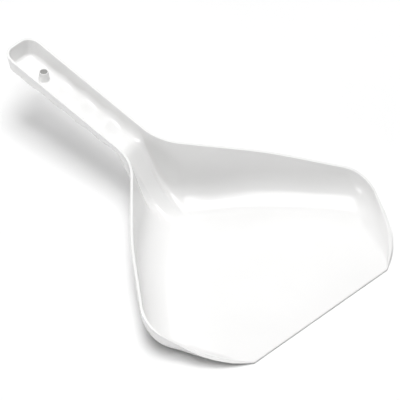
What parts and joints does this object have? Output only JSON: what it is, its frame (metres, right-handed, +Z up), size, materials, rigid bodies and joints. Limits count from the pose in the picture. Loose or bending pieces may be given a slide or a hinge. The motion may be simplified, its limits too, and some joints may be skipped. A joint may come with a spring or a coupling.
{
  "type": "mortar scoop",
  "caption": "One-piece plastic hand scoop: wide flat blade with raised side walls, ramp, open channel handle with finger waves, and a hanging boss.",
  "frame": {"origin": "bottom centre of the scoop as it lies on its blade: middle of its length, on the plane of symmetry, at the flat underside", "axes": "+X from the handle to the blade's front edge, +Z up, Y across; the scoop is symmetric about Y = 0"},
  "size_m": [0.3026, 0.2124, 0.0656],
  "materials": {
    "white_plastic": "glossy white injection-moulded polypropylene, lightly satin"
  },
  "bodies": {
    "root": {"scoop_blade": "white_plastic", "grip_channel": "white_plastic", "hanging_boss": "white_plastic"}
  },
  "joints": []
}
